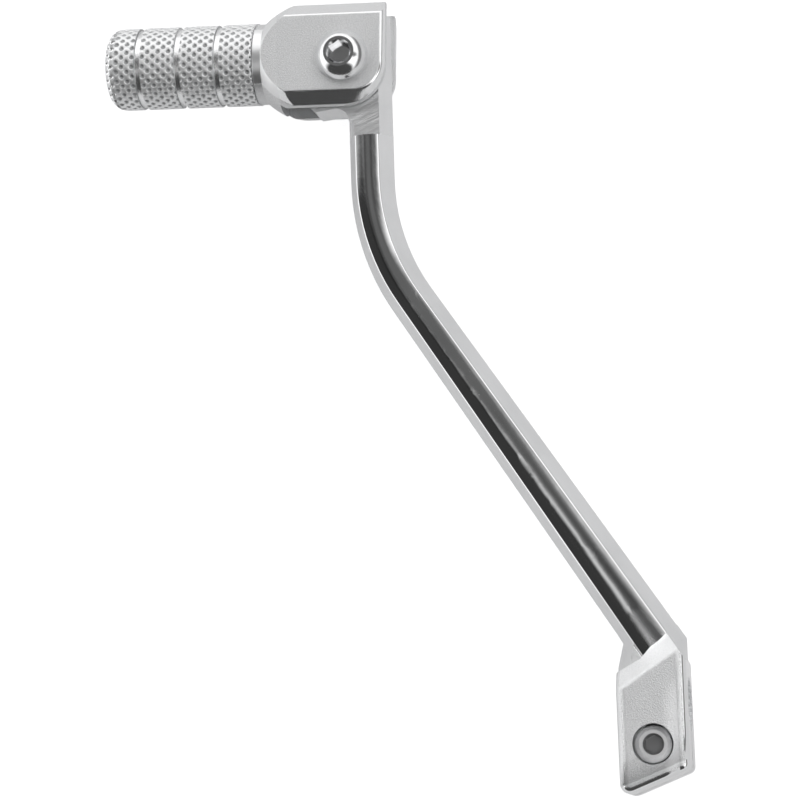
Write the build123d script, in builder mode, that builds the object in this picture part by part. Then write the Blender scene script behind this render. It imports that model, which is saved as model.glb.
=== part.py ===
"""Folding gear shift lever for a motorcycle: forged arm, splined clamp boss and a
spring-loaded folding toe peg, each piece a solid of its own.

Millimetres. The origin is the centre of the spindle bore. +X runs forward from the
spindle to the toe peg, +Y runs outboard along the bore and the peg, +Z points up
towards the heads of the pivot bolt and the pinch bolt.
"""
from build123d import *
from math import cos, pi, radians, sin, tan
import os

os.makedirs("parts", exist_ok=True)

# ---------------------------------------------------------------- layout
REACH = 159.5            # spindle axis forward to the tip pivot
OFFSET = 68.1            # bore centre outboard to the tip pivot
TOE = 2.3                # degrees the peg leans forward of square at rest
FOLD = 50.0              # degrees the tip folds rearward

# ---------------------------------------------------------------- arm
ARM_THICK = 11.5         # over the two crowned faces
ARM_WIDTH = 11.0         # across the upper straight
ARM_ROOT_WIDTH = 13.0    # across the lower end, at the boss
ARM_INSET = 5.1          # upper straight's centreline inboard of the pivot
ARM_SWEEP = 32.8         # degrees between the two straights
ARM_PASS = 8.636         # lower straight's centreline inboard of the bore, square to the arm
BEND_RADIUS = 55.0       # centreline radius of the bend
CROWN = 0.6              # rise of the crowned face over its edge
FLANK = 3.0              # width of the slanted inboard flank in plan
SOFT_FLANK = 2.2         # width of the rounded outboard flank in plan
ARM_EDGE = 0.7           # rounding of the section's corners
BASE_TAPER = 30.0        # degrees the base's sides lean in

# ---------------------------------------------------------------- clamp boss
BOSS_WIDTH = 16.4        # along the bore
BOSS_THICK = 20.0
BOSS_TAIL = 18.6         # rear end behind the bore, at mid width
TAIL_SLANT = 21.0        # degrees the rear end leans, long side outboard
TAIL_CORNER = 2.4        # plan radius of the tail's outboard corner
TAIL_CORNER_IN = 1.7     # plan radius of its inboard corner
BOSS_EDGE = 1.6          # rounding between the plateau and the ramp
TAIL_EDGE = 2.3          # rounding of the plateau's other edges
PLATEAU_RUN = 12.6       # plateau's upper corner, forward along the arm from the bore
PLATEAU_NOTCH = 2.6      # the outboard part of that edge stands this much lower
RAMP = 6.0               # run of the ramp between arm and plateau
RAMP_FOOT = 4.3          # height of the ramp's foot over the middle plane
SHOULDER_TOP = 14.6      # forward end of the outboard shoulder
SHOULDER_FOOT = 9.0      # where the shoulder reaches full width
SHOULDER_FALL = 1.4      # the shoulder's forward end is this much inboard
SPLINE_R = 5.6           # to the crests of the serration
SPLINE_TEETH = 24
SPLINE_NOTCH = 0.42      # half diagonal of one serration notch
SLIT = 1.8
PINCH_BACK = 9.5         # pinch bolt axis behind the bore axis

# ---------------------------------------------------------------- pinch bolt, M5
PINCH_D = 5.0
PINCH_LENGTH = 13.0
PINCH_HEAD_D = 8.5
PINCH_HEAD_H = 5.0
PINCH_HEX = 4.0
PINCH_HEX_DEPTH = 2.5
PINCH_SUNK = 1.0         # head top below the plateau
PINCH_EDGE = 0.95        # chamfer of the head
PINCH_WELL_D = 9.5
PINCH_WASHER_D = 8.8
PINCH_WASHER_T = 0.8
PINCH_WASHER_GAP = 0.7   # cut of the split washer

# ---------------------------------------------------------------- pivot
PIVOT_D = 8.0            # bolt shank
PIVOT_HEAD_D = 13.0
PIVOT_HEAD_H = 4.0
PIVOT_RIM_D = 7.5        # flat rim around the hex socket
PIVOT_HEX = 5.0
PIVOT_HEX_DEPTH = 2.8
PIVOT_EDGE = 0.6         # straight edge under the dome
PIVOT_BELLY = (0.95, 2.45)   # a point of the dome: in from the edge, up from the ear
SOCKET_LEAD = 0.55       # width of the cone at a socket's mouth
LEAD_TAPER = 40.0        # degrees
THREAD_END = 0.7         # chamfer at a thread's end
BUSH_WALL = 1.0
BUSH_FLANGE_D = 15.0
BUSH_FLANGE_T = 0.5
NUT_FLATS = PIVOT_D + 5.0
NUT_HEIGHT = 4.5
NUT_COLLAR_H = 2.0
NUT_LIP = 0.5            # crimped over the ring
NUT_CRIMP = 0.9          # rounding of the collar's rim
NUT_BEVEL = 30.0         # degrees, corners turned off both ends
RING_WALL = 0.9          # radial thickness of the nylon ring
COLLAR_WALL = 0.8        # crimped collar that holds the ring
WASHER_D = PIVOT_D + 7.6
WASHER_T = 1.4
WASHER_EDGE = 0.3
BOLT_PROUD = 0.5         # bolt end past the nut

# ---------------------------------------------------------------- folding tip
EAR_OUT = 10.0           # half thickness over the ears
EAR_IN = 5.2             # half width of the slot
BEVEL_DEPTH = 2.8        # ear bevel, along the pivot
HEAD_FRONT = 13.9        # forward edge of the head from the pivot
HEAD_REAR = 11.5         # rearward edge of the head from the pivot
BEVEL_FRONT = 3.4
BEVEL_REAR = 2.95
HEAD_INBOARD = 10.2      # inboard edge of the ears from the pivot
HEAD_EDGE = 1.2          # rounding between the flat faces and the bevels
BEND_EDGE = 0.3          # rounding between the head and the turned shoulder
EAR_CORNER = 10.0        # plan radius of the rear inboard corner
FACE_CORNER = 6.9        # same corner on the flat face
SLOT_FLOOR = 16.0        # slot floor outboard of the pivot
PEG_SHIFT = 1.2          # peg axis forward of the pivot
SHOULDER_R = 15.3        # turned shoulder where it leaves the head
SHOULDER_FROM = 9.4
SHOULDER_MID = (16.3, 12.75)     # a point of its arc, along the peg and out from its axis
COLLAR_FROM = 20.3
COLLAR_R = 9.9
KNURL_FROM = 22.3
PEG_R = 10.15            # over the knurl
PEG_END = 60.2
PEG_ROUND = 3.6
GROOVES = 3
GROOVE_FIRST = 31.45      # middle of the innermost groove outboard of the pivot
GROOVE_PITCH = 9.96
GROOVE_MOUTH = 1.7
GROOVE_FLOOR = 1.1
GROOVE_DEPTH = 0.7

# ---------------------------------------------------------------- cam, plunger, spring
CAM_REST = 12.5          # pivot to the cam face at rest
CAM_RISE = 2.0           # cam rise per radian of fold
CAM_SPAN = 52.0          # degrees of cam
EYE_NECK = (2.1, 11.9)   # eye's outline where its rounded corner into the arm starts
EYE_THROAT = (0.0, 12.8)        # a point of that corner
EYE_ROOT = (-0.9, 14.9)  # where it runs out into the arm
NOSE_FROM = 5.7          # stop nose, forward of the pivot
NOSE_TO = 10.5
EYE_TOP = 12.0
PLUNGER_D = 8.0
PLUNGER_TAIL = 27.0      # rear end of the plunger outboard of the pivot
PLUNGER_CUP_R = 3.1
PLUNGER_NOSE = 3.6       # solid nose in front of the cup
PLUNGER_EDGE = 0.4
SPRING_SEAT = 45.0       # bottom of the spring bore outboard of the pivot
SPRING_R = 2.45          # mean coil radius
WIRE_D = 0.9
SPRING_COILS = 9

# ---------------------------------------------------------------- clearances
REST_GAP = 0.1           # stop nose to slot floor, plunger to cam
RUNNING = 0.05           # radial, turning and sliding pieces
SCREW_PLAY = 0.05        # radial, bolts in tapped metal
PASSING = 0.25           # radial, bolts through plain holes
SERVICE_GAP = 0.05       # faces that only stand close

# ---------------------------------------------------------------- derived places
EYE_HALF = EAR_IN - BUSH_FLANGE_T - SERVICE_GAP
MILL_FROM = REACH - 19.0
ARM_Y = OFFSET - ARM_INSET
RING_R = PIVOT_D / 2 + RING_WALL
NUT_COLLAR_D = 2 * (RING_R + COLLAR_WALL)
BOSS_Y = BOSS_WIDTH / 2
toe_dir = (sin(radians(TOE)), cos(radians(TOE)), 0)
UP = (0, 0, 1)
TIP = Plane(origin=(REACH, OFFSET, 0), x_dir=toe_dir, z_dir=UP)
PEG = Plane(origin=TIP.from_local_coords((0, -PEG_SHIFT, 0)), x_dir=toe_dir, z_dir=UP)
peg_axis = Axis(PEG.origin, PEG.x_dir)
PIVOT_XZ = Plane(origin=(REACH, OFFSET, 0), x_dir=(1, 0, 0), z_dir=(0, -1, 0))
pivot_axis = Axis((REACH, OFFSET, 0), UP)
PINCH_XZ = Plane(origin=(-PINCH_BACK, 0, 0), x_dir=(1, 0, 0), z_dir=(0, -1, 0))
pinch_axis = Axis((-PINCH_BACK, 0, 0), UP)

run = (-cos(radians(ARM_SWEEP)), -sin(radians(ARM_SWEEP)), 0)
across = (-sin(radians(ARM_SWEEP)), cos(radians(ARM_SWEEP)), 0)
bend_tangent = BEND_RADIUS * tan(radians(ARM_SWEEP) / 2)
bend_at = (ARM_PASS + ARM_Y * across[1]) / -across[0]
bend_start = bend_at + bend_tangent
bend_end = (bend_at + run[0] * bend_tangent, ARM_Y + run[1] * bend_tangent, 0)


def along(forward, outboard):
    """Plan point from a distance along the arm and one across it, seen from the bore."""
    return (-forward * run[0] + outboard * across[0], -forward * run[1] + outboard * across[1])


ALONG_ARM = Plane(origin=(0, 0, 0), x_dir=(-run[0], -run[1], 0), z_dir=(-across[0], -across[1], 0))
centre_across = -ARM_PASS
inboard_across = centre_across - ARM_ROOT_WIDTH / 2
crease_across = inboard_across + FLANK
corner_forward = (-BOSS_Y - inboard_across * across[1]) / -run[1]
crease_forward = (-BOSS_Y - crease_across * across[1]) / -run[1]
root = (*along(corner_forward, centre_across), 0)
tail_rise = BOSS_Y * tan(radians(TAIL_SLANT))
shoulder_y = BOSS_Y - SHOULDER_FALL
base_outline = [
    (0, -BOSS_Y),
    along(corner_forward, inboard_across),
    along(corner_forward + 4, inboard_across),
    (SHOULDER_TOP + 2, shoulder_y + 1.2),
    (SHOULDER_TOP, shoulder_y),
    (SHOULDER_FOOT, BOSS_Y),
    (0, BOSS_Y),
]
block_outline = [
    (-BOSS_TAIL - tail_rise, BOSS_Y),
    (-BOSS_TAIL + tail_rise, -BOSS_Y),
    along(crease_forward, crease_across),
    along(PLATEAU_RUN, crease_across),
    along(PLATEAU_RUN - PLATEAU_NOTCH, centre_across + 5),
    (SHOULDER_FOOT - 1.6, BOSS_Y),
]
well_floor = BOSS_THICK / 2 - PINCH_SUNK - PINCH_HEAD_H - PINCH_WASHER_T
nose_x = SLOT_FLOOR - REST_GAP
bush_r = PIVOT_D / 2 + RUNNING + BUSH_WALL
head_len = KNURL_FROM + HEAD_INBOARD
head_mid = (KNURL_FROM - HEAD_INBOARD) / 2
bore_r = PLUNGER_D / 2 + RUNNING
rim_z = EAR_OUT + PIVOT_HEAD_H
nut_top = -EAR_OUT - WASHER_T
collar_top = nut_top - NUT_HEIGHT
bolt_end = collar_top - NUT_COLLAR_H - BOLT_PROUD
pinch_seat = well_floor + PINCH_WASHER_T


def arm_profile(section, width):
    """Forged section: crowned faces, a slanted inboard flank, a rounded outboard one."""
    half, edge = width / 2, ARM_THICK / 2 - CROWN
    with BuildLine() as outline:
        top = ThreePointArc(
            (-half + FLANK, edge), ((FLANK - SOFT_FLANK) / 2, edge + CROWN), (half - SOFT_FLANK, edge)
        )
        Line(top @ 1, (half, 0))
        Line((half, 0), (half - SOFT_FLANK, -edge))
        low = ThreePointArc(
            (half - SOFT_FLANK, -edge), ((FLANK - SOFT_FLANK) / 2, -edge - CROWN), (-half + FLANK, -edge)
        )
        Line(low @ 1, (-half, 0))
        Line((-half, 0), top @ 0)
    make_face(outline.edges())
    fillet(section.vertices(), ARM_EDGE)


def cam_point(turn):
    """Cam outline in the tip's plane: its flat-faced follower rises evenly with the fold."""
    angle = radians(turn)
    rise = CAM_REST + CAM_RISE * angle
    return (
        rise * cos(angle) - CAM_RISE * sin(angle),
        rise * sin(angle) + CAM_RISE * cos(angle),
    )


def rear_corner(sketch):
    """The sketch's corner at the rear inboard end."""
    return sketch.vertices().group_by(Axis.X)[0].sort_by(Axis.Y)[-1]


def plateau_rims(part):
    """Edges of the boss's two flat faces."""
    return part.edges().filter_by(Plane.XY).filter_by(
        lambda edge: abs(abs(edge.center().Z) - BOSS_THICK / 2) < 0.01
    )


def in_reach(edge, near, far):
    """Whether an edge's middle lies between two distances outboard of the pivot."""
    return near + 0.05 < TIP.to_local_coords(edge.center()).X < far - 0.05


# ======================================================================== arm
with BuildPart() as lever_arm:
    # clamp boss: the thick block round the bore, with a ramp down to the arm and rounded edges
    with BuildSketch(Plane.XY.offset(-BOSS_THICK / 2)) as block:
        Polygon(*block_outline, align=None)
        fillet(block.vertices().group_by(Axis.X)[0], TAIL_CORNER)
        fillet(block.vertices().group_by(Axis.X)[2], TAIL_CORNER_IN)
    extrude(amount=BOSS_THICK)
    with BuildSketch(ALONG_ARM):
        for side in (1, -1):
            Polygon(
                (PLATEAU_RUN, side * RAMP_FOOT),
                (PLATEAU_RUN - RAMP, side * BOSS_THICK / 2),
                (PLATEAU_RUN - RAMP, side * BOSS_THICK),
                (PLATEAU_RUN + BOSS_THICK, side * BOSS_THICK),
                (PLATEAU_RUN + BOSS_THICK, side * RAMP_FOOT),
                align=None,
            )
    extrude(amount=2 * BOSS_WIDTH, both=True, mode=Mode.SUBTRACT)
    tail_rims = plateau_rims(lever_arm).filter_by(lambda edge: edge.center().X < -BOSS_TAIL / 2)
    fillet(tail_rims, TAIL_EDGE)
    fillet(plateau_rims(lever_arm).filter_by(lambda edge: edge.center().X > BOSS_EDGE), BOSS_EDGE)
    # upper straight, running up past the pivot
    with BuildSketch(Plane(origin=(bend_start, ARM_Y, 0), x_dir=(0, 1, 0), z_dir=(1, 0, 0))) as section:
        arm_profile(section, ARM_WIDTH)
    extrude(amount=REACH + EYE_TOP + 2 - bend_start)
    # thinned end that sits between the ears
    for side in (1, -1):
        with BuildSketch(Plane((REACH, ARM_Y, side * EYE_HALF), z_dir=(0, 0, side))):
            Rectangle(2 * (REACH - MILL_FROM), 2 * ARM_WIDTH)
        extrude(amount=ARM_THICK, mode=Mode.SUBTRACT)
    # eye round the pivot, with the cam and the stop nose
    with BuildSketch(TIP.offset(-EYE_HALF)):
        with BuildLine():
            cam = Spline(*[cam_point(CAM_SPAN * step / 8) for step in range(9)])
            Line(cam @ 1, EYE_NECK)
            ThreePointArc(EYE_NECK, EYE_THROAT, EYE_ROOT)
            Polyline(
                EYE_ROOT,
                (-ARM_INSET, EYE_ROOT[1]),
                (-ARM_INSET, -EYE_TOP - 2),
                (nose_x - 3, -EYE_TOP - 2),
                (nose_x - 3, -EYE_TOP),
                (nose_x, -NOSE_TO),
                (nose_x, -NOSE_FROM),
                (CAM_REST, -NOSE_FROM),
                cam @ 0,
            )
        make_face()
    extrude(amount=2 * EYE_HALF)
    with BuildSketch(TIP.offset(-ARM_THICK)):
        with Locations((0, -EYE_TOP - 5)):
            Rectangle(60, 10)
    extrude(amount=2 * ARM_THICK, mode=Mode.SUBTRACT)
    # bend
    with BuildSketch(Plane(origin=(bend_start, ARM_Y, 0), x_dir=(0, 1, 0), z_dir=(1, 0, 0))) as section:
        arm_profile(section, ARM_WIDTH)
    revolve(axis=Axis((bend_start, ARM_Y - BEND_RADIUS, 0), UP), revolution_arc=ARM_SWEEP)
    # tapered lower straight
    with BuildSketch(Plane(origin=bend_end, x_dir=across, z_dir=(-run[0], -run[1], 0))) as section:
        arm_profile(section, ARM_WIDTH)
    with BuildSketch(Plane(origin=root, x_dir=across, z_dir=(-run[0], -run[1], 0))) as section:
        arm_profile(section, ARM_ROOT_WIDTH)
    loft()
    # tapered base that takes in the arm's root
    for side in (1, -1):
        with BuildSketch(Plane((0, 0, 0), x_dir=(1, 0, 0), z_dir=(0, 0, side))):
            Polygon(*[(x, side * y) for x, y in base_outline], align=None)
        extrude(amount=ARM_THICK / 2 - CROWN, taper=BASE_TAPER)
    # spindle bore: serration notches all round the crest circle
    with BuildSketch(Plane.XZ.offset(-BOSS_WIDTH)):
        Circle(SPLINE_R)
        with PolarLocations(SPLINE_R, SPLINE_TEETH):
            RegularPolygon(SPLINE_NOTCH, 4)
    extrude(amount=2 * BOSS_WIDTH, mode=Mode.SUBTRACT)
    # slit from the bore out through the tail
    with BuildSketch(Plane.XY.offset(-SLIT / 2)):
        with Locations((-BOSS_TAIL, 0)):
            Rectangle(2 * BOSS_TAIL, 2 * BOSS_WIDTH)
    extrude(amount=SLIT, mode=Mode.SUBTRACT)
    # pinch bolt: sunk well, plain hole in the upper jaw, tapped hole in the lower one
    with Locations((-PINCH_BACK, 0, BOSS_THICK / 2)):
        CounterBoreHole(
            radius=PINCH_D / 2 + PASSING,
            counter_bore_radius=PINCH_WELL_D / 2,
            counter_bore_depth=BOSS_THICK / 2 - well_floor,
            depth=BOSS_THICK / 2,
        )
    with Locations((-PINCH_BACK, 0, 0)):
        Hole(radius=PINCH_D / 2 + SCREW_PLAY, depth=BOSS_THICK / 2)
    # pivot bore for the bushes
    with BuildSketch(Plane((REACH, OFFSET, -BOSS_THICK))):
        Circle(bush_r)
    extrude(amount=2 * BOSS_THICK, mode=Mode.SUBTRACT)
lever_arm.part.label = "lever_arm"
export_step(lever_arm.part, "parts/lever_arm.step")

# ======================================================================== folding tip
with BuildPart() as folding_tip:
    # upper half of the head: straight sides, then bevels that fade out at the rear corner
    with BuildSketch(TIP) as sides:
        with Locations((head_mid, (HEAD_REAR - HEAD_FRONT) / 2)):
            Rectangle(head_len, HEAD_FRONT + HEAD_REAR)
        fillet(rear_corner(sides), EAR_CORNER)
    extrude(amount=EAR_OUT - BEVEL_DEPTH)
    with BuildSketch(TIP.offset(EAR_OUT - BEVEL_DEPTH)) as foot:
        with Locations((head_mid, (HEAD_REAR - HEAD_FRONT) / 2)):
            Rectangle(head_len, HEAD_FRONT + HEAD_REAR)
        fillet(rear_corner(foot), EAR_CORNER)
    with BuildSketch(TIP.offset(EAR_OUT)) as flat:
        with Locations((head_mid, (HEAD_REAR - BEVEL_REAR - HEAD_FRONT + BEVEL_FRONT) / 2)):
            Rectangle(head_len, HEAD_FRONT + HEAD_REAR - BEVEL_FRONT - BEVEL_REAR)
        fillet(rear_corner(flat), FACE_CORNER)
    loft()
    creases = folding_tip.edges().filter_by(Plane.XY).filter_by(
        lambda edge: edge.center().Z > EAR_OUT - BEVEL_DEPTH / 2 and in_reach(edge, -HEAD_INBOARD, KNURL_FROM)
    )
    fillet(creases, HEAD_EDGE)
    mirror(about=Plane.XY)
    # turned shoulder and collar
    with BuildSketch(PEG):
        with BuildLine():
            shoulder = ThreePointArc(
                (SHOULDER_FROM, SHOULDER_R), SHOULDER_MID, (COLLAR_FROM, COLLAR_R)
            )
            Polyline(
                shoulder @ 1,
                (KNURL_FROM, COLLAR_R),
                (KNURL_FROM, 0),
                (-2 * HEAD_INBOARD, 0),
                (-2 * HEAD_INBOARD, SHOULDER_R),
                shoulder @ 0,
            )
        make_face()
    revolve(axis=peg_axis, mode=Mode.INTERSECT)
    bends = folding_tip.edges().filter_by(GeomType.LINE, reverse=True).filter_by(
        lambda edge: in_reach(edge, SHOULDER_FROM, COLLAR_FROM)
    )
    fillet(bends, BEND_EDGE)
    # peg with its rounded end and its grooves
    with BuildSketch(PEG) as peg_section:
        with BuildLine():
            Polyline(
                (SLOT_FLOOR + 2, 0),
                (SLOT_FLOOR + 2, COLLAR_R / 2),
                (KNURL_FROM, COLLAR_R / 2),
                (KNURL_FROM, PEG_R),
                (PEG_END, PEG_R),
                (PEG_END, 0),
                close=True,
            )
        make_face()
        fillet(peg_section.vertices().group_by(Axis.X)[-1].sort_by(Axis.Y)[-1], PEG_ROUND)
    revolve(axis=peg_axis)
    with BuildSketch(PEG):
        for number in range(GROOVES):
            middle = GROOVE_FIRST + number * GROOVE_PITCH
            Polygon(
                (middle - GROOVE_MOUTH / 2, PEG_R + 1),
                (middle - GROOVE_MOUTH / 2, PEG_R),
                (middle - GROOVE_FLOOR / 2, PEG_R - GROOVE_DEPTH),
                (middle + GROOVE_FLOOR / 2, PEG_R - GROOVE_DEPTH),
                (middle + GROOVE_MOUTH / 2, PEG_R),
                (middle + GROOVE_MOUTH / 2, PEG_R + 1),
                align=None,
            )
    revolve(axis=peg_axis, mode=Mode.SUBTRACT)
    # slot for the eye
    with BuildSketch(TIP.offset(-EAR_IN)):
        with Locations((SLOT_FLOOR - 25, 0)):
            Rectangle(50, 60)
    extrude(amount=2 * EAR_IN, mode=Mode.SUBTRACT)
    # bore for the plunger and its spring, with the drill's cone at the bottom
    with BuildSketch(PEG):
        Polygon(
            (SLOT_FLOOR - 1, 0),
            (SLOT_FLOOR - 1, bore_r),
            (SPRING_SEAT, bore_r),
            (SPRING_SEAT + bore_r * tan(radians(31)), 0),
            align=None,
        )
    revolve(axis=peg_axis, mode=Mode.SUBTRACT)
    # pivot holes
    with BuildSketch(TIP.offset(-2 * EAR_OUT)):
        Circle(PIVOT_D / 2 + RUNNING)
    extrude(amount=4 * EAR_OUT, mode=Mode.SUBTRACT)
folding_tip.part.label = "folding_tip"
export_step(folding_tip.part, "parts/folding_tip.step")

# ======================================================================== pivot bolt
with BuildPart() as pivot_bolt:
    with BuildSketch(PIVOT_XZ):
        with BuildLine():
            lower = Polyline(
                (0, rim_z),
                (0, bolt_end),
                (PIVOT_D / 2 - THREAD_END, bolt_end),
                (PIVOT_D / 2, bolt_end + THREAD_END),
                (PIVOT_D / 2, EAR_OUT),
                (PIVOT_HEAD_D / 2, EAR_OUT),
                (PIVOT_HEAD_D / 2, EAR_OUT + PIVOT_EDGE),
            )
            dome = ThreePointArc(
                lower @ 1,
                (PIVOT_HEAD_D / 2 - PIVOT_BELLY[0], EAR_OUT + PIVOT_BELLY[1]),
                (PIVOT_RIM_D / 2, rim_z),
            )
            Line(dome @ 1, (0, rim_z))
        make_face()
    revolve(axis=pivot_axis)
    with BuildSketch(Plane((REACH, OFFSET, rim_z))):
        RegularPolygon(PIVOT_HEX / 2, 6, major_radius=False)
    extrude(amount=-PIVOT_HEX_DEPTH, mode=Mode.SUBTRACT)
    with BuildSketch(Plane((REACH, OFFSET, rim_z))):
        Circle(PIVOT_HEX / 2 + SOCKET_LEAD)
    extrude(amount=-SOCKET_LEAD / tan(radians(LEAD_TAPER)), taper=LEAD_TAPER, mode=Mode.SUBTRACT)
pivot_bolt.part.label = "pivot_bolt"
export_step(pivot_bolt.part, "parts/pivot_bolt.step")

# ======================================================================== pivot bushes
with BuildPart() as pivot_bushes:
    with BuildSketch(PIVOT_XZ):
        for side in (1, -1):
            Polygon(
                (PIVOT_D / 2 + RUNNING, side * SERVICE_GAP),
                (PIVOT_D / 2 + RUNNING, side * (EYE_HALF + BUSH_FLANGE_T)),
                (BUSH_FLANGE_D / 2, side * (EYE_HALF + BUSH_FLANGE_T)),
                (BUSH_FLANGE_D / 2, side * EYE_HALF),
                (bush_r, side * EYE_HALF),
                (bush_r, side * SERVICE_GAP),
                align=None,
            )
    revolve(axis=pivot_axis)
pivot_bushes.part.label = "pivot_bushes"
export_step(pivot_bushes.part, "parts/pivot_bushes.step")

# ======================================================================== nut and its washer
with BuildPart() as nut_washer:
    with BuildSketch(Plane((REACH, OFFSET, -EAR_OUT - WASHER_T))):
        Circle(WASHER_D / 2)
        Circle(PIVOT_D / 2 + PASSING, mode=Mode.SUBTRACT)
    extrude(amount=WASHER_T)
    lower_rim = nut_washer.edges().filter_by(GeomType.CIRCLE).group_by(Axis.Z)[0]
    chamfer(lower_rim.sort_by(SortBy.LENGTH)[-1], WASHER_EDGE)
nut_washer.part.label = "nut_washer"
export_step(nut_washer.part, "parts/nut_washer.step")

with BuildPart() as lock_nut:
    with BuildSketch(Plane((REACH, OFFSET, nut_top), z_dir=(0, 0, -1))):
        RegularPolygon(NUT_FLATS / 2, 6, major_radius=False)
    extrude(amount=NUT_HEIGHT)
    # corners turned off both ends
    with BuildSketch(PIVOT_XZ):
        crest = NUT_FLATS / 2 / cos(pi / 6)
        flat_r = NUT_FLATS / 2 - 0.1
        fall = (crest - flat_r) * tan(radians(NUT_BEVEL))
        Polygon(
            (0, nut_top),
            (flat_r, nut_top),
            (crest, nut_top - fall),
            (crest, collar_top + fall),
            (flat_r, collar_top),
            (0, collar_top),
            align=None,
        )
    revolve(axis=pivot_axis, mode=Mode.INTERSECT)
    # crimped collar with the seat of the nylon ring
    with BuildSketch(PIVOT_XZ):
        Polygon(
            (0, nut_top),
            (NUT_COLLAR_D / 2, collar_top + NUT_LIP),
            (NUT_COLLAR_D / 2, collar_top - NUT_COLLAR_H + NUT_CRIMP),
            (NUT_COLLAR_D / 2 - NUT_CRIMP, collar_top - NUT_COLLAR_H),
            (0, collar_top - NUT_COLLAR_H),
            align=None,
        )
    revolve(axis=pivot_axis)
    with BuildSketch(PIVOT_XZ):
        Polygon(
            (0, nut_top + 1),
            (PIVOT_D / 2 + SCREW_PLAY, nut_top + 1),
            (PIVOT_D / 2 + SCREW_PLAY, collar_top),
            (RING_R, collar_top),
            (RING_R, collar_top - NUT_COLLAR_H + NUT_LIP),
            (RING_R - NUT_LIP, collar_top - NUT_COLLAR_H + NUT_LIP),
            (RING_R - NUT_LIP, collar_top - NUT_COLLAR_H - 1),
            (0, collar_top - NUT_COLLAR_H - 1),
            align=None,
        )
    revolve(axis=pivot_axis, mode=Mode.SUBTRACT)
lock_nut.part.label = "lock_nut"
export_step(lock_nut.part, "parts/lock_nut.step")

with BuildPart() as nylon_ring:
    with BuildSketch(Plane((REACH, OFFSET, collar_top), z_dir=(0, 0, -1))):
        Circle(RING_R)
        Circle(PIVOT_D / 2, mode=Mode.SUBTRACT)
    extrude(amount=NUT_COLLAR_H - NUT_LIP)
nylon_ring.part.label = "nylon_ring"
export_step(nylon_ring.part, "parts/nylon_ring.step")

# ======================================================================== plunger and spring
with BuildPart() as detent_plunger:
    with BuildSketch(PEG):
        front = CAM_REST + REST_GAP
        Polygon(
            (front, 0),
            (front, PLUNGER_D / 2 - PLUNGER_EDGE),
            (front + PLUNGER_EDGE, PLUNGER_D / 2),
            (PLUNGER_TAIL, PLUNGER_D / 2),
            (PLUNGER_TAIL, PLUNGER_CUP_R),
            (front + PLUNGER_NOSE, PLUNGER_CUP_R),
            (front + PLUNGER_NOSE, 0),
            align=None,
        )
    revolve(axis=peg_axis)
detent_plunger.part.label = "detent_plunger"
export_step(detent_plunger.part, "parts/detent_plunger.step")

spring_from = CAM_REST + REST_GAP + PLUNGER_NOSE + SERVICE_GAP + WIRE_D / 2
spring_length = SPRING_SEAT - SERVICE_GAP - WIRE_D / 2 - spring_from
with BuildPart() as return_spring:
    with BuildLine():
        coil = Helix(
            pitch=spring_length / SPRING_COILS,
            height=spring_length,
            radius=SPRING_R,
            center=PEG.from_local_coords((spring_from, 0)),
            direction=PEG.x_dir,
        )
    with BuildSketch(Plane(origin=coil @ 0, z_dir=coil % 0)):
        Circle(WIRE_D / 2)
    sweep()
return_spring.part.label = "return_spring"
export_step(return_spring.part, "parts/return_spring.step")

# ======================================================================== pinch bolt
with BuildPart() as pinch_bolt:
    with BuildSketch(PINCH_XZ):
        Polygon(
            (0, pinch_seat - PINCH_LENGTH),
            (PINCH_D / 2 - THREAD_END, pinch_seat - PINCH_LENGTH),
            (PINCH_D / 2, pinch_seat - PINCH_LENGTH + THREAD_END),
            (PINCH_D / 2, pinch_seat),
            (PINCH_HEAD_D / 2, pinch_seat),
            (PINCH_HEAD_D / 2, pinch_seat + PINCH_HEAD_H - PINCH_EDGE),
            (PINCH_HEAD_D / 2 - PINCH_EDGE, pinch_seat + PINCH_HEAD_H),
            (0, pinch_seat + PINCH_HEAD_H),
            align=None,
        )
    revolve(axis=pinch_axis)
    with BuildSketch(Plane((-PINCH_BACK, 0, pinch_seat + PINCH_HEAD_H))):
        RegularPolygon(PINCH_HEX / 2, 6, major_radius=False)
    extrude(amount=-PINCH_HEX_DEPTH, mode=Mode.SUBTRACT)
    with BuildSketch(Plane((-PINCH_BACK, 0, pinch_seat + PINCH_HEAD_H))):
        Circle(PINCH_HEX / 2 + SOCKET_LEAD)
    extrude(amount=-SOCKET_LEAD / tan(radians(LEAD_TAPER)), taper=LEAD_TAPER, mode=Mode.SUBTRACT)
pinch_bolt.part.label = "pinch_bolt"
export_step(pinch_bolt.part, "parts/pinch_bolt.step")

with BuildPart() as pinch_washer:
    with BuildSketch(Plane((-PINCH_BACK, 0, well_floor))):
        Circle(PINCH_WASHER_D / 2)
        Circle(PINCH_D / 2 + 2 * SCREW_PLAY, mode=Mode.SUBTRACT)
        with Locations((PINCH_WASHER_D / 2, 0)):
            Rectangle(PINCH_WASHER_D / 2, PINCH_WASHER_GAP, rotation=15, mode=Mode.SUBTRACT)
    extrude(amount=PINCH_WASHER_T)
pinch_washer.part.label = "pinch_washer"
export_step(pinch_washer.part, "parts/pinch_washer.step")
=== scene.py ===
"""Looks of the folding gear shift lever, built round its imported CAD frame.

The forged arm and the fasteners are CAD nodes that get their finishes here. The folding tip is
built again as two pieces, a machined head and a diamond-knurled peg sleeve, because the knurl is
real relief. Everything is in metres in the row frame: the origin is the spindle bore's centre, +X
runs forward to the toe peg, +Y outboard and +Z up towards the bolt heads.
"""

import logging
import math
from dataclasses import dataclass, field
from enum import Enum

import bmesh
import bpy
from mathutils import Matrix, Vector


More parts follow.
